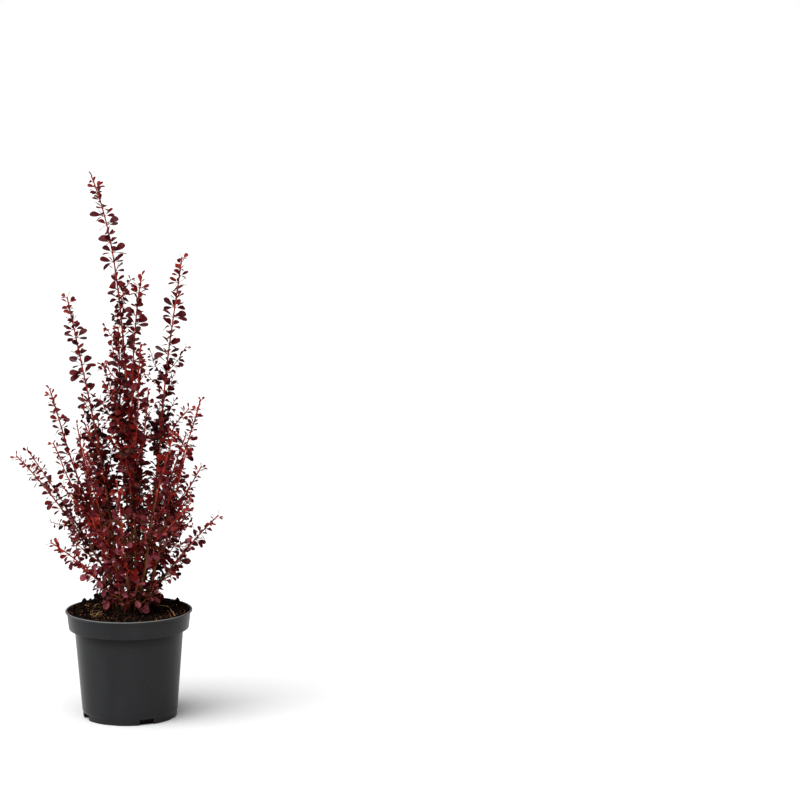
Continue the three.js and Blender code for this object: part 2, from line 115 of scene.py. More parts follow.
# Wood is red above a height, and on the young length below a tip from less height on.
RED_WOOD = {"height": 170, "young_height": 42, "young_length": 90}
SPUR = {"length": 1.2, "fine_length": 0.6, "radii": [0.62, 0.5, 0.38], "sides": 5}
THORNS = {"share": 0.4, "twig_share": 0.1, "turn": (-0.5, 0.5), "rise": (-0.25, 0.35),
          "length": (3, 6), "radius": 0.22}

# A stem's first and last node, and the gaps between nodes: they widen from the tip on, over a
# distance, and are wider still near a long stem's foot.
NODES = {"from_foot": 3, "from_tip": 2, "tip": 7, "over": 60, "upper": 12.5, "upper_length": 200,
         "lower": 13, "twig": 10}
# How far leaves reach down a cane's bare part.
LEAVES_ON_BARE = 30

# The longest leaf, and the longest and widest of a tuft against it, from its first leaf on.
LEAF_LENGTH = 16
LEAF_RANKS = [1, 0.95, 0.9, 0.74, 0.68, 0.6, 0.54, 0.5]
LEAF_WIDTHS = [1.04, 0.92, 0.95, 1.05, 1.05, 1.1, 1.1, 1.1]
# How the first leaves stand: their angles from the stem, and round it from the tuft's own side.
LEAF_STANCES = [(1.0, 0), (1.72, 0), (0.82, math.pi), (1.5, math.pi)]
# The leaves that grow from the stem and not from the spur.
ON_STEM = (2, 3)
# By rank of the stem, the least leaves of a tuft and one over the most, and the leaves' size.
LEAF_COUNTS = [(6, 8), (5, 8), (4, 7), (4, 6)]
LEAF_SIZES = [1.1, 1.0, 0.8, 0.74]
# Canes of a radius from STRONG on have leaves of full size. Other canes, the foot's sprays, and
# stems near the ground or more than LONG below their tip have smaller ones.
STRONG, WEAK, SPRAY_VIGOUR, LONG = 2.2, 0.84, 0.92, 170
# Below these heights tufts have fewer leaves, and leaves on shoots and twigs droop.
LEAFY_FOOT, SPARSE_FOOT, DROOPING = 95, 45, 55
# Below this height the foot's own sprays have a few large, broad leaves that hang.
HANGING, HANGING_COUNT, HANGING_WIDTH = 34, 2, 1.28
# At a stem's tip a tuft has few leaves, and they are more upright.
TIP_TUFT = {"within": 12, "count": 3, "lean": 0.75}
# Towards a tip leaves get smaller, more alike and narrower.
YOUNG = {"size": 0.62, "over": 62, "twig_over": 26, "alike": 0.85, "alike_over": 60,
         "narrow": 0.85, "narrow_within": 40}
# A leaf's tip stays this far over the ground, and a share of the low leaves is missing.
LEAST_HEIGHT, LOW_LEAF, LEFT_OUT = 4, 15, 0.7
# The ranges of a tuft's and its leaves' angles, in radians, and of shares of a size.
RANGES = {
    "tuft_turn": (-0.25, 0.25), "spur_rise": (0.2, 0.6), "lean": (-0.12, 0.12),
    "around": (-0.3, 0.3), "loose_lean": (0.35, 1.1), "loose_around": (-2.4, 2.4),
    "droop": (0.3, 1.0), "hanging_out": (0.5, 0.9), "hanging_down": (0.4, 0.9),
    "hanging_length": (0.75, 1.05), "first_roll": (0.55, 1.1), "roll": (0.15, 0.9),
    "length": (0.88, 1.12), "width": (0.88, 1.14), "fold": (0.06, 0.32), "curl": (0.1, 0.6),
}
# A leaf's sections from its stalk to a single point: share of its length, half its width and half
# its thickness. Long leaves have the finer form.
LARGE = 9.5
ROUND_LEAF = np.array([
    (0, 0.026, 0.022), (0.22, 0.03, 0.014), (0.34, 0.14, 0.012), (0.5, 0.235, 0.01),
    (0.68, 0.29, 0.009), (0.84, 0.265, 0.008), (0.95, 0.16, 0.007),
])
SMALL_LEAF = np.array([
    (0, 0.035, 0.028), (0.24, 0.065, 0.016), (0.46, 0.205, 0.012), (0.72, 0.265, 0.01),
    (0.92, 0.165, 0.008),
])

# The foot's tints end at this height. Above it, a stem's tip and the stretch below it have their
# own, down to these distances from its end.
FOOT_TINTED = 60
TIP_TINTED = {"cane": (20, 50), "twig": (4, 14)}
# A share of the leaves below this height has low tints.
LOW_HEIGHT, LOW_SHARE = 140, 0.3
# The share of a tuft's leaves with its own tint, and of its small leaves with a red one.
# Red small leaves are partly a painted glow, standing in for light shining through backlit leaves.
SAME_TINT, SMALL_RED = 0.4, 0.25
# The tints by kind of place, each with the upper limit of the draws that it takes.
# Painted shade, in part: the near-black dark tint goes only to the foot and to the crown's twigs and
# older stretches, where shade falls.
TINT_LIMITS = {
    "cane_tip": [("young", 0.4), ("red", 1)],
    "twig_tip": [("young", 0.25), ("red", 1)],
    # Away from the tips, red leaves are partly a painted glow of light through backlit leaves.
    "near_tip": [("red", 0.35), ("purple", 1)],
    "foot": [("mauve", 0.42), ("old", 0.5), ("purple", 0.8), ("dark", 1)],
    "hanging": [("mauve", 0.55), ("purple", 1)],
    "low": [("mauve", 0.2), ("old", LOW_SHARE)],
    "upper_cane": [("purple", 0.68), ("red", 0.8), ("wine", 1)],
    "crown": [("wine", 0.38), ("dark", 0.6), ("purple", 0.83), ("red", 0.97), ("old", 1)],
}


def seeded(seed):
    """A repeatable stream of numbers from 0 to 1, the CAD source's own."""
    modulus = 2147483647
    state = (seed * 7919) % modulus
    while True:
        state = (state * 48271) % modulus
        yield state / modulus


def lerp(a, b, share):
    return a + (b - a) * share


def rising(value, start, over):
    """0 up to a start, and 1 from a distance past it on."""
    return min(1.0, max(0.0, (value - start) / over))


def unit(v):
    return v / np.maximum(np.linalg.norm(v, axis=-1, keepdims=True), 1e-9)


def rotated(v, axis, angle):
    """A vector turned about a unit axis by an angle in radians."""
    along = (v * axis).sum(-1, keepdims=True)
    c, s = np.cos(angle), np.sin(angle)
    return v * c + np.cross(axis, v) * s + axis * along * (1 - c)


def across(tangent):
    """A direction square to each tangent, towards +X, and the one beside it."""
    out = unit(np.array([1.0, 0, 0]) - tangent * tangent[..., :1])
    return out, np.cross(tangent, out)


def turns_of(count):
    """Even steps of a full turn."""
    return np.arange(count) * (FULL_TURN / count)


class Stem:
    """A cane, shoot or twig: its curve, its radius, and how far it is bare from its foot."""

    def __init__(self, start, end, arch, sway, thickness, rank, bare=0.0):
        self.start, self.end = np.array(start, float), np.array(end, float)
        self.arch, self.sway, self.thickness = arch, sway, thickness
        self.rank, self.bare, self.is_main = rank, bare, rank < TWIG
        self.shares = np.linspace(0, 1, 201)
        points = self.curve(self.shares)
        self.lengths = np.r_[0, np.cumsum(np.linalg.norm(np.diff(points, axis=0), axis=1))]
        self.length = self.lengths[-1]
        self.steps = max(2, math.floor(self.length / STRETCH + 0.5))
        self.axis = self.at(self.length * np.linspace(0, 1, self.steps + 1))

    def curve(self, u):
        shares = np.stack([u ** self.arch] * 2 + [u], -1)
        bow = SWAY * np.sin(math.pi * u) * np.sin(FULL_TURN * u + self.sway)
        side = np.array([math.cos(self.sway), math.sin(self.sway), 0])
        return self.start + (self.end - self.start) * shares + bow[..., None] * side

    def at(self, distance):
        """Points on the curve at distances from its foot."""
        return self.curve(np.interp(distance, self.lengths, self.shares))

    def tangents(self, distance):
        ahead = self.at(np.minimum(distance + 1, self.length))
        return unit(ahead - self.at(np.maximum(distance - 1, 0)))

    def radius(self, distance):
        left = (1 - distance / self.length) ** TAPER
        return THIN[self.rank] + (self.thickness - THIN[self.rank]) * left

    def chord(self, share):
        """The point and direction at a share of the CAD model's straight stretches."""
        step = min(math.floor(share * self.steps), self.steps - 1)
        a, b = self.axis[step], self.axis[step + 1]
        return lerp(a, b, share * self.steps - step), unit(b - a)

    def samples(self):
        count = math.ceil(self.steps * np.linalg.norm(self.axis[1] - self.axis[0]) / SAMPLE)
        return np.array([self.chord(i / count)[0] for i in range(count + 1)])


class Mass:
    """The stems of one foliage node of the CAD model."""

    def __init__(self, name, azimuth, reach, height, arch, foot, radius, twigs, shoots, index, bare):
        self.name, self.twigs, self.seed = name, twigs, index + 1
        self.vigour = 1 if radius >= STRONG else (WEAK if bare else SPRAY_VIGOUR)
        start, end = from_base(azimuth, foot, BASE["height"] / 4), from_base(azimuth, reach, height)
        cane = Stem(start, end, arch, index, radius, CANE, bare)
        self.stems = [cane]
        for sway, (at, turn, out, rise, bend) in enumerate(shoots, index + 1):
            foot, thick = cane.chord(at)[0], SHOOT_SHARE * lerp(radius, TIP_RADIUS, at)
            self.stems.append(Stem(foot, from_base(turn, out, rise), bend, sway, thick, SHOOT))
        self.measure()

    def measure(self):
        """Takes the points that distances to this mass are measured from."""
        self.samples = np.concatenate([stem.samples() for stem in self.stems])


def from_base(azimuth, reach, height):
    a = math.radians(azimuth)
    return [BASE["x"] + reach * math.cos(a), reach * math.sin(a), LEVEL + height]


def least_distance(points, samples):
    return np.sqrt(((points[:, None] - samples[None]) ** 2).sum(-1)).min(1)


def in_own_space(points, mass, masses, margin):
    """Whether all points are nearer to this mass than to any other, above the compost."""
    if (points[:, 2] <= LOWEST).any():
        return False
    reach = least_distance(points, mass.samples) + margin
    others = np.concatenate([other.samples for other in masses if other is not mass])
    return bool((least_distance(points, others) > reach).all())


def grow_twigs(mass, masses):
    """The twigs of the CAD model, by its own seeded rule."""
    cane, random = mass.stems[0], seeded(mass.seed)
    for index in range(mass.twigs):
        share = lerp(TWIGS["from"], TWIGS["to"], (index + 0.5) / mass.twigs)
        point, tangent = cane.chord(share)
        for trial in range(TWIGS["tries"]):
            length = TWIGS["length"] * (TWIGS["shortening"] - share)
            length *= lerp(TWIGS["first_try"], TWIGS["last_try"], trial / TWIGS["tries"])
            out = rotated(across(tangent)[0], tangent, FULL_TURN * next(random))
            end = point + out * TWIGS["lean"] * length
            end[2] += length * math.sqrt(1 - TWIGS["lean"] ** 2)
            sway = FULL_TURN * next(random)
            twig = Stem(point, end, TWIGS["arch"], sway, TWIGS["radius"], TWIG)
            outer = twig.samples()
            outer = outer[np.linalg.norm(outer - point, axis=1) > TWIGS["free"]]
            if in_own_space(outer, mass, masses, MARGIN):
                mass.stems.append(twig)
                break
    mass.measure()


def skeleton():
    """All masses with their canes, shoots and twigs, as in the solids."""
    canes = [Mass(*cane, index, BARE) for index, cane in enumerate(CANES)]
    sprays = []
    for order, azimuth in enumerate(SPRAY_AZIMUTHS):
        sides = [(at, azimuth + turn, *rest) for at, turn, *rest in SIDE_SHOOTS]
        name, index = f"foot_{order + 1}", len(CANES) + order
        sprays.append(Mass(name, azimuth, *SPRAY, 0, sides, index, 0))
    masses = canes + sprays
    for mass in canes:
        grow_twigs(mass, masses)
    return masses


def nodes_of(stem):
    """Distances along a stem at which leaves stand, closer together towards its tip."""
    place, found = stem.length - NODES["from_tip"], []
    while place > max(NODES["from_foot"], stem.bare - LEAVES_ON_BARE):
        found.append(place)
        below = stem.length - place
        kind = "lower" if below > NODES["upper_length"] else "upper"
        widest = NODES[kind if stem.is_main else "twig"]
        place -= lerp(NODES["tip"], widest, min(1, below / NODES["over"]))
    return found[::-1]


def fine_twig(stem, place, mass, masses, random):
    """One fine twig at a node, at the first try that finds free space."""
    point, tangent = stem.at(place), stem.tangents(place)
    for _ in range(FINE["tries"]):
        length = lerp(FINE["least"], FINE["most"], random.random())
        out = rotated(across(tangent)[0], tangent, FULL_TURN * random.random())
        rise = unit(tangent + FINE["upward"] * UP)
        lean = FINE["lean"] * lerp(*FINE["leans"], random.random())
        upright = math.sqrt(max(1 - lean ** 2, FINE["least_rise"]))
        end = point + length * unit(out * lean + rise * upright)
        sway = FULL_TURN * random.random()
        twig = Stem(point, end, FINE["arch"], sway, FINE["radius"], FINE_TWIG)
        outer = twig.at(np.arange(FINE["free"], twig.length, FINE["sample"]))
        if in_own_space(outer, mass, masses, FINE["margin"]):
            return twig
    return None


def is_core(point):
    """Whether a place is in the crown's dense middle, which widens with its height."""
    height = point[2] - LEVEL
    reach = math.hypot(point[0] - BASE["x"], point[1])
    return height > FINE["lowest"] and reach < FINE["within"] + FINE["widening"] * height


def grow_fine(masses):
    """Fine twigs at some nodes of all stems, away from the tips."""
    random = np.random.RandomState(SEEDS["fine_twigs"])
    for mass in masses:
        grown = []
        for stem in mass.stems:
            least, share = FINE["on_twigs" if stem.rank == TWIG else "on_canes"]
            for place in nodes_of(stem):
                inner = stem.length - place >= least and is_core(stem.at(place))
                if inner and random.random() < share:
                    grown.append(fine_twig(stem, place, mass, masses, random))
        mass.stems += [twig for twig in grown if twig is not None]


class Batch:
    """Many small closed shapes gathered into one mesh."""

    def __init__(self):
        self.points, self.quads, self.triangles, self.count = [], [], [], 0

    def add(self, points, quads, triangles):
        self.points.append(points.reshape(-1, 3))
        self.quads.append(np.asarray(quads).reshape(-1, 4) + self.count)
        self.triangles.append(np.asarray(triangles).reshape(-1, 3) + self.count)
        self.count += points.size // 3

    def copies(self, points, quads, triangles):
        """The same shape many times: points is (copies, points, 3)."""
        shift = np.arange(len(points))[:, None, None] * points.shape[1]
        self.add(points, np.asarray(quads)[None] + shift, np.asarray(triangles)[None] + shift)


def placed(name, data):
    """An object in the scene with this mesh, light or camera."""
    made = bpy.data.objects.new(name, data)
    bpy.context.scene.collection.objects.link(made)
    return made


def make_piece(name, batch, material, replaced=(), sharp=None):
    """A piece made from a batch. Edges over the angle sharp, in degrees, stay sharp."""
    points = np.concatenate(batch.points) * MM
    faces = np.concatenate(batch.quads).tolist() + np.concatenate(batch.triangles).tolist()
    mesh = bpy.data.meshes.new(name)
    mesh.from_pydata(points.tolist(), [], faces)
    mesh.validate()
    mesh.shade_smooth()
    if sharp:
        mesh.set_sharp_from_angle(angle=math.radians(sharp))
    mesh.materials.append(material)
    piece = placed(name, mesh)
    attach(piece, "root")
    if replaced:
        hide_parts(*replaced)
    return piece


def ring_faces(rings, sides):
    """Faces between rings of corners, and to one more point at each end of them."""
    around = np.arange(sides)
    ahead = (around + 1) % sides
    rows = np.arange(rings - 1)[:, None] * sides
    here, after = rows + around, rows + ahead
    quads = np.stack([here, after, after + sides, here + sides], -1)
    top, first = (rings - 1) * sides, rings * sides
    caps = np.r_[np.stack([ahead, around, np.full(sides, first)], -1),
                 np.stack([around + top, ahead + top, np.full(sides, first + 1)], -1)]
    return quads, caps


def tube(batch, centres, tangents, radii, sides):
    """A closed tube. radii is one number a ring, or one for each corner of each ring."""
    out, side = across(tangents)
    turns = turns_of(sides)[None, :, None]
    radii = np.asarray(radii, float).reshape(len(centres), -1, 1)
    ring = out[:, None] * np.cos(turns) + side[:, None] * np.sin(turns)
    points = centres[:, None] + ring * radii
    ends = [centres[0] - tangents[0] * radii[0].mean() * 0.5,
            centres[-1] + tangents[-1] * radii[-1].mean() * 0.9]
    batch.add(np.r_[points.reshape(-1, 3), ends], *ring_faces(len(centres), sides))


def leaf_faces(rows):
    """A leaf's faces, between rows of a left, top, right and under corner."""
    quads, caps = ring_faces(rows, 4)
    return np.r_[quads.reshape(-1, 4), [(3, 2, 1, 0)]], caps[4:] - [0, 0, 1]


def leaf_points(form, base, along, normal, length, width, fold, curl):
    """The corners of many leaves of one form. All but form hold one row or number a leaf."""
    base, along, normal = base[:, None], along[:, None], normal[:, None]
    length, width, fold, curl = [v[:, None, None] for v in (length, width, fold, curl)]
    share, half, thick = form.T[:, None, :, None]
    bend = curl * np.append(share, [[[1.0]]], 1)
    middle = base + length * (along * (np.sin(bend) / curl) - normal * ((1 - np.cos(bend)) / curl))
    face = (normal * np.cos(bend) + along * np.sin(bend))[:, :-1]
    mid, spread = middle[:, :-1], half * width * length
    flank = np.cross(along, normal) * np.cos(fold) * spread
    lift, deep = face * np.sin(fold) * spread, face * thick * length
    corners = np.stack([mid - flank + lift, mid + deep, mid + flank + lift, mid - deep], 2)
    return np.concatenate([corners.reshape(len(base), -1, 3), middle[:, -1:]], 1)


class Tuft:
    """A tuft of leaves of falling size on one short spur."""

    def __init__(self, stem, place, turn, vigour, random):
        self.rank, self.is_main, self.random = stem.rank, stem.is_main, random
        self.below = stem.length - place
        self.point, self.tangent = stem.at(place), stem.tangents(place)
        self.height, self.radius = self.point[2] - LEVEL, float(stem.radius(place))
        turn = turn + self.draw("tuft_turn")
        self.out = rotated(across(self.tangent)[0], self.tangent, turn)
        self.axis = unit(self.out + self.tangent * self.draw("spur_rise"))
        length = SPUR["fine_length" if self.rank == FINE_TWIG else "length"]
        self.spur = self.point + self.out * self.radius * 0.6 + self.axis * length
        self.hanging = self.rank == CANE and not stem.bare and self.height < HANGING
        self.droop = 0.0 if self.rank == CANE else max(0.0, 1 - self.height / DROOPING)
        self.size, self.count = self.leaf_size(vigour), self.leaf_count()
        self.tint = self.drawn_tint()

    def draw(self, name):
        return self.random.uniform(*RANGES[name])

    def leaf_size(self, vigour):
        """How large the leaves are, against the largest: small near a tip."""
        over = YOUNG["over" if self.is_main else "twig_over"]
        if self.is_main and self.height < LEAFY_FOOT:
            vigour = SPRAY_VIGOUR
        elif self.is_main and self.below > LONG:
            vigour = WEAK
        return lerp(YOUNG["size"], 1, min(1, self.below / over)) * vigour * LEAF_SIZES[self.rank]

    def leaf_count(self):
        count = TIP_TUFT["count"]
        if self.below >= TIP_TUFT["within"]:
            count = self.random.randint(*LEAF_COUNTS[self.rank])
        if self.hanging:
            return HANGING_COUNT
        if self.height < SPARSE_FOOT:
            return count - 2
        return count - 1 if self.height < LEAFY_FOOT or self.below > LONG else count

    def kind_of_place(self, draw):
        """The tints' kind of place, by how young the stem is and how low it stands."""
        kind = "cane" if self.is_main else "twig"
        tip, near = TIP_TINTED[kind]
        if self.height < FOOT_TINTED:
            return "foot"
        if self.below < near:
            return f"{kind}_tip" if self.below < tip else "near_tip"
        if self.height < LOW_HEIGHT and draw < LOW_SHARE:
            return "low"
        return "upper_cane" if self.is_main and self.below < LONG else "crown"

    def drawn_tint(self, kind=None):
        draw = self.random.random()
        limits = TINT_LIMITS[kind or self.kind_of_place(draw)]
        return next(tint for tint, limit in limits if draw < limit)

    def leaf_tint(self, rank):
        tint = self.tint if self.random.random() < SAME_TINT else self.drawn_tint()
        if rank > 2 and self.is_main and self.random.random() < SMALL_RED:
            tint = "red"
        return self.drawn_tint("hanging") if self.hanging else tint

    def directions(self, rank):
        """The ways that a leaf points and that its upper side faces."""
        loose = rank >= len(LEAF_STANCES)
        lean, around = (0, 0) if loose else LEAF_STANCES[rank]
        lean += self.draw("loose_lean" if loose else "lean")
        around += self.draw("loose_around" if loose else "around")
        if self.below < TIP_TUFT["within"]:
            lean *= TIP_TUFT["lean"]
        beside = rotated(self.out, self.tangent, around)
        along = unit(self.tangent * math.cos(lean) + beside * math.sin(lean))
        along = unit(along - UP * self.droop * self.draw("droop"))
        facing = self.tangent * 0.8 + UP * 0.3
        if self.hanging:
            outward = self.out * self.draw("hanging_out") + beside * 0.35
            along = unit(outward - UP * self.draw("hanging_down"))
            facing = self.out * 0.8 + UP * 0.5
        facing = unit(facing - along * (facing @ along) + 1e-4 * beside)
        roll = self.draw("first_roll" if rank == 0 and not self.hanging else "roll")
        return along, unit(rotated(facing, along, roll * self.random.choice((-1, 1))))

    def leaf(self, rank):
        """A leaf's tint, foot, directions, length, width, fold and curl, or none at the ground."""
        along, normal = self.directions(rank)
        share = lerp(YOUNG["alike"], LEAF_RANKS[rank], min(1, self.below / YOUNG["alike_over"]))
        length = LEAF_LENGTH * self.size * share * self.draw("length")
        tint = self.leaf_tint(rank)
        if self.hanging:
            length = LEAF_LENGTH * self.draw("hanging_length")
        width = self.draw("width") * (HANGING_WIDTH if self.hanging else LEAF_WIDTHS[rank])
        if self.is_main and self.below < YOUNG["narrow_within"]:
            width *= YOUNG["narrow"]
        foot = self.point + along * self.radius if rank in ON_STEM else self.spur
        low = foot[2] + along[2] * length - LEVEL
        if low < LEAST_HEIGHT:
            return None
        if low < LOW_LEAF and not self.hanging and self.random.random() < LEFT_OUT:
            return None
        return tint, foot, along, normal, length, width, self.draw("fold"), self.draw("curl")

    def leaves(self):
        return [leaf for leaf in map(self.leaf, range(self.count)) if leaf]


def add_spur(batch, tuft, foot):
    path = np.stack([foot, lerp(foot, tuft.spur, 0.5), tuft.spur])
    tube(batch, path, np.repeat(tuft.axis[None], 3, 0), SPUR["radii"], SPUR["sides"])


def add_thorn(batch, tuft, foot, random):
    """A thin three-sided thorn beside a tuft."""
    side = rotated(tuft.out, tuft.tangent, random.uniform(*THORNS["turn"]))
    direction = unit(side + UP * random.uniform(*THORNS["rise"]))
    first, second = across(direction)
    turns = turns_of(3)[:, None]
    ring = first * np.cos(turns) + second * np.sin(turns)
    tip = foot + direction * random.uniform(*THORNS["length"])
    root = foot - direction * THORNS["radius"]
    points = np.r_[foot + ring * THORNS["radius"], [tip, root]]
    batch.add(points, NO_QUADS, [(0, 1, 3), (1, 2, 3), (2, 0, 3), (1, 0, 4), (2, 1, 4), (0, 2, 4)])


def stem_tint(stem, place):
    """Young wood is red, and old wood near the foot is yellow-brown."""
    height = float(stem.at(place)[2]) - LEVEL
    young = stem.rank == FINE_TWIG or stem.length - place < RED_WOOD["young_length"]
    is_red = height > RED_WOOD["height"] or young and height > RED_WOOD["young_height"]
    return "red" if is_red else "brown"


def add_stem(batches, stem, nodes):
    """The tube of one stem, in runs of one tint, a little thicker at each node."""
    start = stem.bare if stem.rank == CANE and stem.bare else 0.0
    count = int((stem.length - start) / RING_GAPS[stem.rank])
    marks, beside = np.array(nodes), SWELLING["beside"]
    places = np.r_[np.linspace(start, stem.length, max(3, count)), marks - beside, marks,
                   marks + beside]
    places = np.unique(places.clip(start, stem.length))
    nearest = np.abs(places[:, None] - marks[None]).min(1)
    swell = np.exp(-(nearest / SWELLING["width"]) ** 2)
    radii = stem.radius(places) * (1 + SWELLING["share"] * swell)
    centres, tangents = stem.at(places), stem.tangents(places)
    tints = [stem_tint(stem, place) for place in places]
    changes = [k + 1 for k in range(len(tints) - 1) if tints[k] != tints[k + 1]]
    bounds = sorted({0, *changes, len(places) - 1})
    for a, b in zip(bounds[:-1], bounds[1:]):
        run = slice(a, b + 1)
        tube(batches[tints[a + 1]], centres[run], tangents[run], radii[run], SIDES[stem.rank])


def stem_pieces(masses):
    """The stems above the bare canes with their spurs, the thorns, and the leaves."""
    random = np.random.RandomState(SEEDS["stems"])
    batches = {"red": Batch(), "brown": Batch()}
    thorns, leaves = Batch(), []
    for mass in masses:
        for stem in mass.stems:
            nodes = nodes_of(stem)
            phase = random.uniform(0, FULL_TURN)
            add_stem(batches, stem, nodes)
            for order, place in enumerate(nodes):
                tuft = Tuft(stem, place, phase + GOLDEN_ANGLE * order, mass.vigour, random)
                leaves += tuft.leaves()
                foot = tuft.point + tuft.out * tuft.radius * 0.3
                add_spur(batches[stem_tint(stem, place)], tuft, foot)
                if random.random() < THORNS["share" if stem.is_main else "twig_share"]:
                    add_thorn(thorns, tuft, foot, random)
    return batches, thorns, leaves


def cane_batch(masses):
    """The bare lower canes, ribbed like old barberry wood."""
    batch, random = Batch(), np.random.RandomState(SEEDS["canes"])
    overlap, gap, sides, ribs, twist = 3, 1.6, 14, 5, 0.05
    rib_depth, roughness, foot_swell, top_swell = 0.055, 0.05, 1.25, 1.02
    for stem in [mass.stems[0] for mass in masses if mass.stems[0].bare]:
        places = np.arange(0, stem.bare + overlap, gap)
        radii = stem.radius(places) * np.interp(places, [0, stem.bare], [foot_swell, top_swell])
        turns = ribs * turns_of(sides)[None] + twist * places[:, None] + random.uniform(0, 6)
        relief = 1 + rib_depth * np.cos(turns)
        relief += roughness * random.uniform(-1, 1, (len(places), sides))
        tube(batch, stem.at(places), stem.tangents(places), radii[:, None] * relief, sides)
    return batch


def base_batch():
    """The woody base: a lobed dome with fissured bark."""
    rings, sides, fissures, grains = 22, 96, 0.05, 0.02
    rise, turns = np.linspace(0, 1, rings), turns_of(sides)
    radius = BASE["radius"] * (1 + BASE["flare"] * (1 - rise) ** 2) * np.cos(math.pi / 2 * rise)
    height = BASE["brim"] + (BASE["height"] - BASE["brim"]) * np.sin(math.pi / 2 * rise)
    swell = 1 + BASE["lobe_depth"] / BASE["radius"] * np.cos(BASE["lobes"] * turns)
    foot = LEVEL + CLEARANCE
    points = np.zeros((rings, sides, 3))
    for i, j in np.ndindex(rings, sides):
        c, s = math.cos(turns[j]), math.sin(turns[j])
        fissure = noise.noise(Vector((c * 8.8, s * 8.8, rise[i] * 1.5)))
        grain = noise.noise(Vector((c * 22, s * 22, i * 0.8)))
        out = radius[i] * swell[j] * (1 + fissures * fissure + grains * grain)
        lift = 1 + fissures * grain * (rise[i] > 0.1)
        points[i, j] = (BASE["x"] + out * c, out * s, foot + height[i] * lift)
    batch, ends = Batch(), [[BASE["x"], 0, foot], points[-1].mean(0)]
    batch.add(np.r_[points.reshape(-1, 3), ends], *ring_faces(rings, sides))
    return batch


class Shader:
    """A Principled material that is built up by a few named steps."""

    def __init__(self, name, colour, roughness, shine):
        self.material = bpy.data.materials.new(name)
        self.material.use_nodes = True
        self.tree = self.material.node_tree
        self.surface = self.tree.nodes["Principled BSDF"]
        self.fill(self.surface, Base_Color=(*colour, 1), Roughness=roughness,
                  Specular_IOR_Level=shine)

    def fill(self, node, **values):
        """Sets a node's sockets to values, or links them to other nodes' outputs."""
        for name, value in values.items():
            socket = node.inputs[name.replace("_", " ")]
            if isinstance(value, bpy.types.NodeSocket):
                self.tree.links.new(value, socket)
            else:
                socket.default_value = value
        return node

    def node(self, kind, **values):
        return self.fill(self.tree.nodes.new(kind), **values)

    def pattern(self, scale, detail, stretch=(1, 1, 1), distortion=0.0):
        """A noise over the object's own coordinates. scale is in waves a metre."""
        place = self.node("ShaderNodeTexCoord").outputs["Object"]
        size = self.node("ShaderNodeMapping", Vector=place, Scale=stretch).outputs["Vector"]
        made = self.node("ShaderNodeTexNoise", Vector=size, Scale=scale, Detail=detail,
                         Distortion=distortion)
        return made.outputs["Fac"]

    def ramp(self, source, stops):
        made = self.node("ShaderNodeValToRGB", Fac=source)
        elements = made.color_ramp.elements
        while len(elements) < len(stops):
            elements.new(0.5)
        for element, (place, colour) in zip(elements, stops):
            element.position, element.color = place, (*colour, 1)
        return made.outputs["Color"]

    def by_height(self, stops):
        """A ramp over the pot's height. The stops are in millimetres over the ground."""
        place, top = self.node("ShaderNodeTexCoord").outputs["Object"], POT["height"]
        height = self.node("ShaderNodeSeparateXYZ", Vector=place).outputs["Z"]
        share = self.node("ShaderNodeMapRange", Value=height, From_Max=top * MM).outputs["Result"]
        return self.ramp(share, [(stop / top, colour) for stop, colour in stops])

    def mixed(self, share, under, over):
        """A plain colour laid over a colour socket, by a share that a socket gives."""
        blend = self.node("ShaderNodeMix")
        blend.data_type = "RGBA"
        self.tree.links.new(share, blend.inputs[0])
        self.tree.links.new(under, blend.inputs[6])
        blend.inputs[7].default_value = (*over, 1)
        return blend.outputs[2]

    def colour(self, source):
        self.fill(self.surface, Base_Color=source)

    def roughness(self, source, low, high):
        made = self.node("ShaderNodeMapRange", Value=source, From_Min=0.3, From_Max=0.7,
                         To_Min=low, To_Max=high)
        self.fill(self.surface, Roughness=made.outputs["Result"])

    def bump(self, source, strength, distance):
        made = self.node("ShaderNodeBump", Height=source, Strength=strength, Distance=distance)
        self.fill(self.surface, Normal=made.outputs["Normal"])


def linear(colour):
    """An sRGB colour of 0 to 255 as linear shares."""
    return tuple((c / 255 / 12.92) if c <= 10 else ((c / 255 + 0.055) / 1.055) ** 2.4
                 for c in colour)


# The leaves' and the woods' colours are sRGB values, and the others linear shares.
# Red leaves away from the tips are partly a painted glow of light through backlit leaves; at the tips
# they are young.
# The near-black dark leaf colour is partly painted shade.
LEAF_COLOURS = {"young": (142, 38, 30), "red": (118, 21, 16), "purple": (95, 23, 30),
                "wine": (75, 5, 8), "dark": (43, 1, 2), "mauve": (160, 76, 84), "old": (90, 44, 24)}
# Woods: their dark and light colour, and their roughness.
WOODS = {
    "stem_red": ((138, 31, 19), (190, 62, 40), 0.6),
    "stem_brown": ((84, 42, 19), (146, 88, 42), 0.6),
    "thorn": ((120, 60, 40), (170, 100, 70), 0.6),
    "bark": ((60, 36, 20), (128, 84, 46), 0.75),
    "foot_bark": ((22, 12, 8), (54, 31, 19), 0.85),
    "straw": ((160, 108, 60), (232, 192, 134), 0.7),
}
# The pot's plastic, its dust, the painted shade under the band and the painted highlight on the lip.
PLASTIC = {"dark": (0.0152, 0.0156, 0.0169), "light": (0.0211, 0.0216, 0.0232),
           "dust": (0.05, 0.05, 0.052), "shade": (0.004, 0.004, 0.0043), "painted_highlight": (0.24, 0.24, 0.24)}
# How much of a plain colour a ramp lays over.
NONE, MOST, ALL = (0, 0, 0), (0.85, 0.85, 0.85), (1, 1, 1)


def leaf_material(tint):
    made = Shader(f"leaf_{tint}", linear(LEAF_COLOURS[tint]), 0.42, 0.14)
    fine = made.pattern(900, 4)
    made.roughness(fine, 0.34, 0.56)
    made.bump(fine, 0.25, 0.0004)
    return made.material


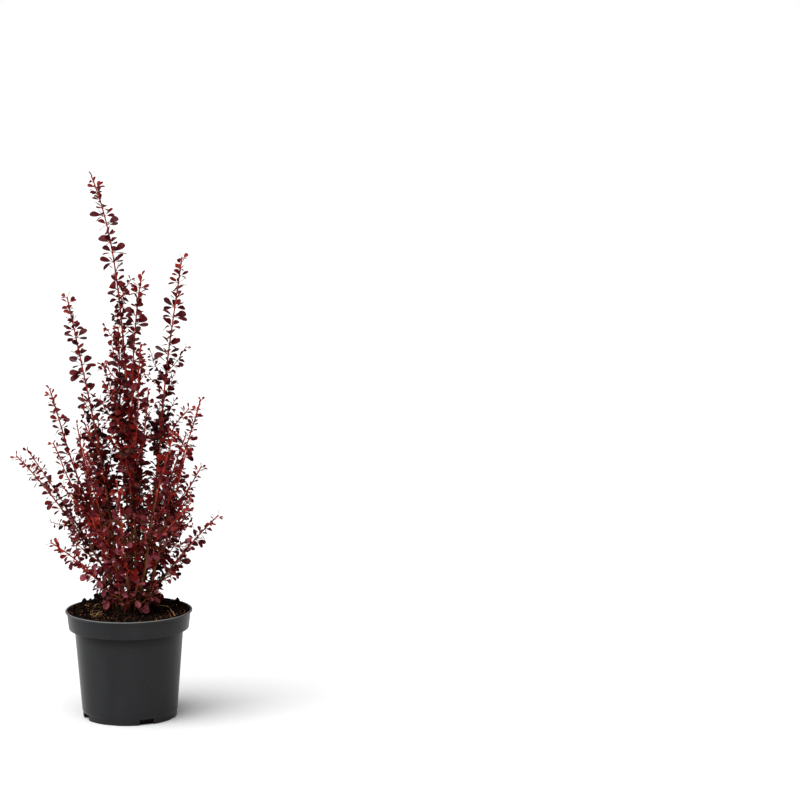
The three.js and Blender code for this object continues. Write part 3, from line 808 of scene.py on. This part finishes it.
def plastic_material():
    """Satin black plastic, scuffed and dusty; painted shade under the band, painted highlight on the
    lip.
    """
    made = Shader("pot_plastic", PLASTIC["dark"], 0.4, 0.12)
    broad, fine = made.pattern(18, 5, (1, 1, 0.35), 0.6), made.pattern(1400, 3)
    # Painted shade: the wall is darkened just under the band, where the band shades it.
    painted_shade_under_band = made.by_height([(BAND - 14, NONE), (BAND - 1.5, MOST), (BAND - 0.2, MOST),
                                 (BAND + 0.2, NONE)])
    # Painted highlight: the top of the lip is pale grey, as if it caught the light.
    lip = made.by_height([(POT["height"] - 1, NONE), (POT["height"] - 0.2, ALL)])
    dust = made.ramp(made.pattern(520, 2), [(0.7, NONE), (0.75, ALL)])
    colour = made.ramp(broad, [(0.35, PLASTIC["dark"]), (0.65, PLASTIC["light"])])
    for share, over in ((dust, "dust"), (painted_shade_under_band, "shade"), (lip, "painted_highlight")):
        colour = made.mixed(share, colour, PLASTIC[over])
    made.colour(colour)
    made.roughness(broad, 0.3, 0.42)
    made.bump(fine, 0.12, 0.0002)
    return made.material


def earth_material(name, dark, light):
    made = Shader(name, dark, 0.95, 0.08)
    made.colour(made.ramp(made.pattern(420, 6), [(0.36, dark), (0.66, light)]))
    made.bump(made.pattern(900, 4), 0.9, 0.0012)
    return made.material


def wood_material(name):
    dark, light, roughness = WOODS[name]
    dark, light = linear(dark), linear(light)
    made = Shader(name, dark, roughness, 0.15)
    grain = made.pattern(520, 5, (1, 1, 0.22))
    made.colour(made.ramp(grain, [(0.34, dark), (0.68, light)]))
    made.bump(grain, 0.6, 0.0006)
    return made.material


def pot_profile():
    """Radius and height along the pot's wall, from below its middle to the middle of its floor."""
    top, foot, shoulder, band_foot, band_top, _, wall, floor = POT.values()
    ledge, slope = 10, (shoulder - foot) / BAND
    turns = [math.radians(turn) for turn in range(-70, 131, 25)]
    # The wall's corners, each with the small steps that round it.
    corners = [
        (0, 0, [(0, 1.2), (52, 1.2), (55, 0)]),
        (foot, 0, [(-1.4, 0), (-0.5, 0.5), (-0.3, 1.4)]),
        (foot + slope * ledge, ledge, [(-0.9, -1.4), (-0.5, -0.6), (0, 0), (1.5 * slope, 1.5)]),
        (foot + slope * (BAND + ledge) / 2, (BAND + ledge) / 2, [(0, 0)]),
        (shoulder, BAND, [(-0.2, -2), (0, -0.6), (0.8, -0.1)]),
        (band_foot, BAND, [(-1.2, 0.1), (-0.4, 0.4), (0, 1.2)]),
        (band_top, top, [(-0.3, -5), (0, -3.2), (0.5, -2.6)]),
        (band_top + 0.75, top - 1.35, [(1.6 * math.cos(turn), 1.3 * math.sin(turn)) for turn in turns]),
        (band_top - wall, top, [(0.4, -1.6), (-0.2, -3)]),
        (band_foot - wall, BAND + wall, [(0, 1.2)]),
        (shoulder - wall, BAND + wall, [(0, 0)]),
        (foot - wall, floor, [(0.2, 1), (-1.2, 0.2)]),
        (0, floor, [(0, 0.2)]),
    ]
    return [(radius + out, height + up) for radius, height, steps in corners for out, up in steps]


def lathe(profile, sides):
    """A profile of radius and height turned round. A height of None is the compost's own."""
    points = []
    for radius, height in profile[1:-1] + profile[:1] + profile[-1:]:
        for turn in turns_of(sides if radius else 1):
            x, y = radius * math.cos(turn), radius * math.sin(turn)
            points.append((x, y, soil_height(x, y) if height is None else height))
    batch = Batch()
    batch.add(np.array(points), *ring_faces(len(profile) - 2, sides))
    return batch


def cut_foot(pot):
    """Cuts the drain notches and the arches between them out of the pot's foot."""
    blocks = bmesh.new()
    for cut in (NOTCH, ARCH):
        for index in range(NOTCHES["count"]):
            turn = math.radians(NOTCHES["azimuth"] + cut["turn"] + 360 / NOTCHES["count"] * index)
            for corner in bmesh.ops.create_cube(blocks, size=1)["verts"]:
                place = corner.co * Vector((2 * NOTCHES["depth"], cut["width"], 2 * cut["height"]))
                place.x += POT["foot"]
                corner.co = rotated(np.array(place), UP, turn) * MM
    mesh = bpy.data.meshes.new("blocks")
    blocks.to_mesh(mesh)
    blocks.free()
    cutter = placed("blocks", mesh)
    change = pot.modifiers.new("cut", "BOOLEAN")
    change.operation, change.solver, change.object = "DIFFERENCE", "EXACT", cutter
    graph = bpy.context.evaluated_depsgraph_get()
    pot.data = bpy.data.meshes.new_from_object(pot.evaluated_get(graph))
    pot.modifiers.clear()
    bpy.data.objects.remove(cutter)


def build_pot():
    wall = lathe(pot_profile(), sides=160)
    pot = make_piece("pot_wall", wall, plastic_material(), ["pot"])
    cut_foot(pot)
    pot.data.shade_smooth()
    pot.data.set_sharp_from_angle(angle=math.radians(35))


# The compost's waves, from broad to fine: height, waves a millimetre and noise layer.
SOIL_WAVES = [(1.6, 0.035, 3.1), (1.5, 0.16, 7.7), (0.8, 0.42, 1.3)]
# Heaps at the back left, before the bank at the pot's wall: x, y, height and spread.
HEAPS = [(-46, 28, 2.8, 1500), (-36, 56, 4, 420)]
BANK = 2.6


def soil_height(x, y):
    """How high the compost stands at a place, in millimetres."""
    out = math.hypot(x, y)
    broad, crumbs, fine = [height * noise.noise(Vector((x * scale, y * scale, layer)))
                           for height, scale, layer in SOIL_WAVES]
    heaps = sum(height * math.exp(-((x - heap_x) ** 2 + (y - heap_y) ** 2) / spread)
                for heap_x, heap_y, height, spread in HEAPS)
    bank = BANK * rising(out, start=45, over=30) ** 2 + heaps * (1 - rising(out, start=73, over=8))
    return LEVEL + 0.5 + bank + rising(out, start=20, over=25) * (broad + crumbs) + fine


def ground_height(x, y):
    """The compost's height, or the woody base's where that stands out of it."""
    out = math.hypot(x - BASE["x"], y) / BASE["radius"]
    if out > 1:
        return soil_height(x, y)
    dome = LEVEL + BASE["brim"] + BASE["height"] * math.sqrt(1 - out ** 2) * 0.9
    return max(soil_height(x, y), dome)


def soil_edge():
    """The compost's radius at its top, against the pot's wall."""
    taper = (POT["band_top"] - POT["band_foot"]) / POT["band_height"]
    return POT["band_top"] - POT["wall"] - taper * (POT["height"] - LEVEL) - CLEARANCE


def build_soil():
    """The compost, with its sides inside the pot and its uneven top."""
    rings, sides, innermost, bottom = 64, 220, 0.0006, POT["floor"] + 1
    inset = POT["wall"] + CLEARANCE
    radii = soil_edge() * np.sqrt(np.linspace(innermost, 1, rings))[::-1]
    profile = [(0, bottom), (POT["foot"] - 1.5 - inset, bottom),
               (POT["shoulder"] - inset, BAND + 1 + inset),
               (POT["band_foot"] - inset, BAND + 2 + inset),
               *[(radius, None) for radius in radii], (0, None)]
    material = earth_material("compost", dark=(0.002, 0.0015, 0.001), light=(0.014, 0.006, 0.004))
    make_piece("compost_top", lathe(profile, sides), material, ["soil"])


def crumb_form():
    """The corners and faces of a rough crumb before it is stretched."""
    ball = bmesh.new()
    bmesh.ops.create_icosphere(ball, subdivisions=1, radius=1)
    points = np.array([v.co[:] for v in ball.verts])
    faces = np.array([[v.index for v in f.verts] for f in ball.faces])
    ball.free()
    return points, faces


def scatter(count, random, inner=0.0):
    """Places all over the compost, or over an outer share of its area."""
    radius = (soil_edge() - 1.5) * np.sqrt(random.uniform(inner, 1, count))
    turn = random.uniform(0, FULL_TURN, count)
    return radius * np.cos(turn), radius * np.sin(turn)


def add_crumbs(batch, places, sizes, random, form, lift=0.25):
    """Crumbs of uneven form, which stand out of the compost by lift against their size."""
    corners, faces = form
    x, y = places
    count = len(x)
    size = random.uniform(*sizes, count) * random.uniform(0.6, 1, count)
    stretch = random.uniform(0.55, 1.2, (count, 1, 3))
    shape = corners[None] * stretch * (1 + random.uniform(-0.25, 0.25, (count, len(corners), 1)))
    turn = random.uniform(0, FULL_TURN, count)[:, None, None]
    shape = rotated(shape, UP, turn) * size[:, None, None]
    z = np.array([ground_height(a, b) for a, b in zip(x, y)]) + size * lift
    batch.copies(shape + np.stack([x, y, z], -1)[:, None], NO_QUADS, faces)


def add_fibres(batch, places, random, lengths, radius, lift=0.9, heading=(0, math.pi)):
    """Bent fibres on the compost, at up to an angle to either side of a heading."""
    steps = 7
    for x, y in zip(*places):
        length = random.uniform(*lengths)
        turn = heading[0] + heading[1] * random.uniform(-1, 1)
        turns = turn + random.uniform(-0.9, 0.9) * np.linspace(-0.5, 0.5, steps)
        path = np.cumsum(np.stack([np.cos(turns), np.sin(turns)], -1) * length / steps, 0)
        path += (x, y) - path.mean(0)
        rise = lift + random.uniform(0, 1.2) * np.sin(np.linspace(0, math.pi, steps))
        add_lying(batch, path, rise, radius * random.uniform(0.6, 1.4))


def add_lying(batch, path, rise, radius):
    """A thin tapering stalk along a path over the compost."""
    out = np.hypot(path[:, 0], path[:, 1])
    path = path * np.minimum(1, (soil_edge() - 2) / out)[:, None]
    z = np.array([ground_height(a, b) for a, b in path]) + rise
    centres = np.c_[path, z]
    tangents = unit(np.gradient(centres, axis=0))
    tube(batch, centres, tangents, radius * np.linspace(1, 0.6, len(path)), 5)


# Crumbs by tint: dark and light colour, number and range of sizes.
CRUMBS = {
    "black": ((0.002, 0.0015, 0.0013), (0.01, 0.005, 0.0035), 2100, (0.9, 2.6)),
    "brown": ((0.03, 0.01, 0.005), (0.12, 0.045, 0.024), 1000, (0.8, 2.2)),
    "rust": ((0.14, 0.05, 0.018), (0.4, 0.19, 0.08), 260, (0.6, 1.5)),
}
# Clumps that stand over the back of the rim.
CLUMPS = [(-64, 43), (-48, 59), (-43, 62), (-37, 65), (-30, 69), (-34, 62), (-40, 57), (47, 60),
          (62, 46)]
# A dry twig that lies on the compost, to the right of the shrub.
DRY_TWIG = [(36, 34), (46, 29), (54, 17), (57, 2), (61, -12), (62, -27), (65, -40)]


def build_crumbs(random):
    form = crumb_form()
    for tint, (dark, light, count, sizes) in CRUMBS.items():
        batch = Batch()
        add_crumbs(batch, scatter(count, random), sizes, random, form)
        if tint == "black":
            lumps = scatter(60, random, inner=0.5)
            add_crumbs(batch, lumps, (2.6, 4.4), random, form, lift=0.3)
            add_crumbs(batch, np.array(CLUMPS).T, (4.5, 6.5), random, form, lift=0.7)
        make_piece(f"crumbs_{tint}", batch, earth_material(f"crumb_{tint}", dark, light),
                   sharp=50)


def build_straw(random):
    """A heap of straw, with thick stalks behind it, loose bits, and a forked dry twig."""
    batch, count, thick, behind = Batch(), 15, 4, 9
    x, y = random.normal(-46, 9, count), random.normal(-12, 18, count)
    add_fibres(batch, (x, y), random, lengths=(8, 22), radius=0.26, lift=1.1, heading=(0.85, 0.45))
    add_fibres(batch, (x[:thick], y[:thick] + behind), random, lengths=(12, 20), radius=0.9,
               lift=1.5, heading=(0.85, 0.3))
    add_fibres(batch, scatter(30, random, inner=0.12), random, lengths=(3, 8), radius=0.24)
    add_lying(batch, np.array(DRY_TWIG, float), rise=1.5, radius=1.1)
    add_lying(batch, np.array(DRY_TWIG[3:], float) + (-6, 5), rise=1.0, radius=0.5)
    make_piece("straw", batch, wood_material("straw"), sharp=50)


def build_litter():
    """Crumbs, straw and a dry twig on top of the compost."""
    random = np.random.RandomState(SEEDS["litter"])
    build_crumbs(random)
    build_straw(random)


def build_leaves(leaves, foliage):
    """One piece for each tint, with large leaves of the finer form."""
    by_tint = {}
    for tint, *row in leaves:
        by_tint.setdefault(tint, []).append(row)
    for tint, rows in sorted(by_tint.items()):
        columns = [np.array(column) for column in zip(*rows)]
        large = columns[3] > LARGE
        batch = Batch()
        for chosen, form in ((large, ROUND_LEAF), (~large, SMALL_LEAF)):
            points = leaf_points(form, *(column[chosen] for column in columns))
            batch.copies(points, *leaf_faces(len(form)))
        make_piece(f"leaves_{tint}", batch, leaf_material(tint), foliage, sharp=60)


def build_shrub():
    masses = skeleton()
    grow_fine(masses)
    foliage = [f"foliage_{mass.name}" for mass in masses]
    canes = [f"cane_{cane[0]}" for cane in CANES]
    batches, thorns, leaves = stem_pieces(masses)
    for tint, batch in batches.items():
        make_piece(f"stems_{tint}", batch, wood_material(f"stem_{tint}"), foliage)
    make_piece("thorns", thorns, wood_material("thorn"), foliage)
    make_piece("cane_bark", cane_batch(masses), wood_material("bark"), canes)
    make_piece("woody_foot", base_batch(), wood_material("foot_bark"), ["woody_base"])
    build_leaves(leaves, foliage)


# Suns: the direction that they shine from, their strength and their width in degrees.
SUNS = {"key": ((-0.4, -0.5, 1.9), 3.5, 60), "side": ((-1, -0.55, 0.6), 1.0, 50)}


def build_world():
    """White all round, which shows brighter than the soft light that it gives."""
    world = bpy.data.worlds.new("studio")
    bpy.context.scene.world = world
    world.use_nodes = True
    nodes, links = world.node_tree.nodes, world.node_tree.links
    soft, white = nodes["Background"], nodes.new("ShaderNodeBackground")
    path, mix = nodes.new("ShaderNodeLightPath"), nodes.new("ShaderNodeMixShader")
    soft.inputs["Strength"].default_value = 0.11
    for shader, socket in ((soft, 1), (white, 2)):
        shader.inputs["Color"].default_value = (1, 1, 1, 1)
        links.new(shader.outputs["Background"], mix.inputs[socket])
    links.new(path.outputs["Is Camera Ray"], mix.inputs["Fac"])
    links.new(mix.outputs["Shader"], nodes["World Output"].inputs["Surface"])


def build_stage():
    """A pale floor, the suns, and a camera at the photo's view, in metres."""
    mesh, far = bpy.data.meshes.new("floor"), 60
    corners = [(-far, -far, 0), (far, -far, 0), (far, far, 0), (-far, far, 0)]
    mesh.from_pydata(corners, [], [(0, 1, 2, 3)])
    mesh.materials.append(Shader("floor", (0.93, 0.93, 0.93), 0.8, 0.1).material)
    placed("floor", mesh)
    for name, (direction, strength, width) in SUNS.items():
        light = bpy.data.lights.new(name, "SUN")
        light.energy, light.angle = strength, math.radians(width)
        placed(name, light).rotation_euler = Vector(direction).to_track_quat("Z", "Y").to_euler()
    optics, down = bpy.data.cameras.new("camera"), 8.3
    optics.lens, optics.sensor_width, optics.clip_end = 135, 36, 300
    camera = placed("camera", optics)
    camera.location = (0.363, -3.9336, 1.0016)
    camera.rotation_euler = (math.radians(90 - down), 0, 0)
    bpy.context.scene.camera = camera
    bpy.context.scene.view_settings.view_transform = "Standard"


build_pot()
build_soil()
build_litter()
build_shrub()
build_world()
build_stage()
